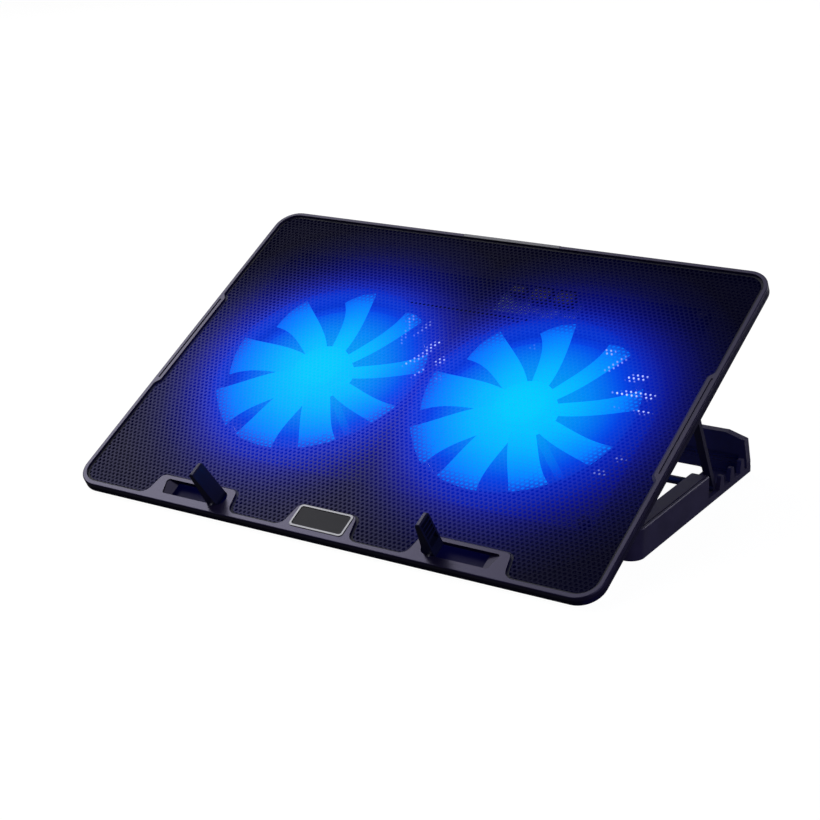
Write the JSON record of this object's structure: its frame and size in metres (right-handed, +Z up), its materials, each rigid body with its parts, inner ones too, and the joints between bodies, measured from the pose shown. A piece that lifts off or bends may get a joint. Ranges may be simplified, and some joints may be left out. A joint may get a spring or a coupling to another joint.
{
  "type": "laptop cooling pad",
  "caption": "Laptop cooling pad: mesh-topped panel with two lit fans and flip-up stops, hinged on a base frame and held up by a notched prop.",
  "frame": {"origin": "on the table, in the middle of the object's plan as it stands with the panel raised", "axes": "+X to the right along the hinge, +Y from the low front edge to the back, +Z up"},
  "size_m": [0.38, 0.2531, 0.1313],
  "materials": {
    "gloss_frame": "glossy dark moulded plastic",
    "shell": "fine matte moulded plastic",
    "mesh": "punched sheet, dark satin paint",
    "bright_trim": "satin silver",
    "badge_field": "brushed dark grey, blank",
    "rubber": "matte",
    "steel": "bright plated",
    "stop_plastic": "glossy dark blue-black",
    "black_plastic": "moulded",
    "fan_blade": "translucent blue, lit from the rim",
    "magnet": "bonded ferrite",
    "bronze": "sintered",
    "winding": "enamelled copper",
    "board": "solder mask",
    "led_lens": "clear blue lens",
    "lead_cover": "matte",
    "gauze": "fine dark woven gauze",
    "prop_metal": "satin black paint"
  },
  "bodies": {
    "base": {"base_frame": "shell", "base_pads": "rubber", "hinge_pins": "steel"},
    "panel": {"top_frame": "gloss_frame", "mesh_screen": "mesh", "bottom_cover": "shell", "badge_bezel": "bright_trim", "badge_plate": "badge_field", "rear_trim": "bright_trim", "stop_pins": "steel", "cover_screws": "steel", "control_board": "board", "usb_sockets": "steel", "switch_body": "steel", "fan_leads": "lead_cover", "prop_pins": "steel", "fan_frame_left": "black_plastic", "fan_bearing_left": "bronze", "stator_left": "winding", "motor_board_left": "board", "leds_left": "led_lens", "fan_screws_left": "steel", "dust_filter_left": "gauze", "fan_frame_right": "black_plastic", "fan_bearing_right": "bronze", "stator_right": "winding", "motor_board_right": "board", "leds_right": "led_lens", "fan_screws_right": "steel", "dust_filter_right": "gauze"},
    "prop": {"prop_frame": "prop_metal", "prop_sleeves": "rubber"},
    "stop_left": {"stop_left": "stop_plastic"},
    "stop_right": {"stop_right": "stop_plastic"},
    "switch": {"switch_slider": "black_plastic"},
    "rotor_left": {"fan_rotor_left": "fan_blade", "rotor_magnet_left": "magnet", "fan_shaft_left": "steel"},
    "rotor_right": {"fan_rotor_right": "fan_blade", "rotor_magnet_right": "magnet", "fan_shaft_right": "steel"}
  },
  "joints": [
    {"name": "panel_tilt", "type": "hinge", "parent": "base", "child": "panel", "pos_m": [0, -0.04636, 0.03206], "axis": [1, 0, 0], "range_deg": [-18, 0]},
    {"name": "prop_fold", "type": "hinge", "parent": "panel", "child": "prop", "pos_m": [0, 0.03214, 0.07206], "axis": [1, 0, 0], "range_deg": [0, 49.74]},
    {"name": "stop_left_flip", "type": "hinge", "parent": "panel", "child": "stop_left", "pos_m": [-0.08, -0.11029, 0.01172], "axis": [0, 0.891, 0.454], "range_deg": [-77, 0]},
    {"name": "stop_right_flip", "type": "hinge", "parent": "panel", "child": "stop_right", "pos_m": [0.08, -0.11029, 0.01172], "axis": [0, -0.891, -0.454], "range_deg": [-90, 0]},
    {"name": "fan_left_spin", "type": "hinge", "parent": "panel", "child": "rotor_left", "pos_m": [-0.077, 0.00526, 0.05982], "axis": [0, -0.454, 0.891], "continuous": true},
    {"name": "fan_right_spin", "type": "hinge", "parent": "panel", "child": "rotor_right", "pos_m": [0.077, 0.00526, 0.05982], "axis": [0, -0.454, 0.891], "continuous": true},
    {"name": "switch_slide", "type": "slide", "parent": "panel", "child": "switch", "axis": [1, 0, 0], "range_m": [0, 0.003]}
  ],
  "couplings": [
    {"joint": "prop_fold", "follows": "panel_tilt", "ratio": -2.763}
  ]
}
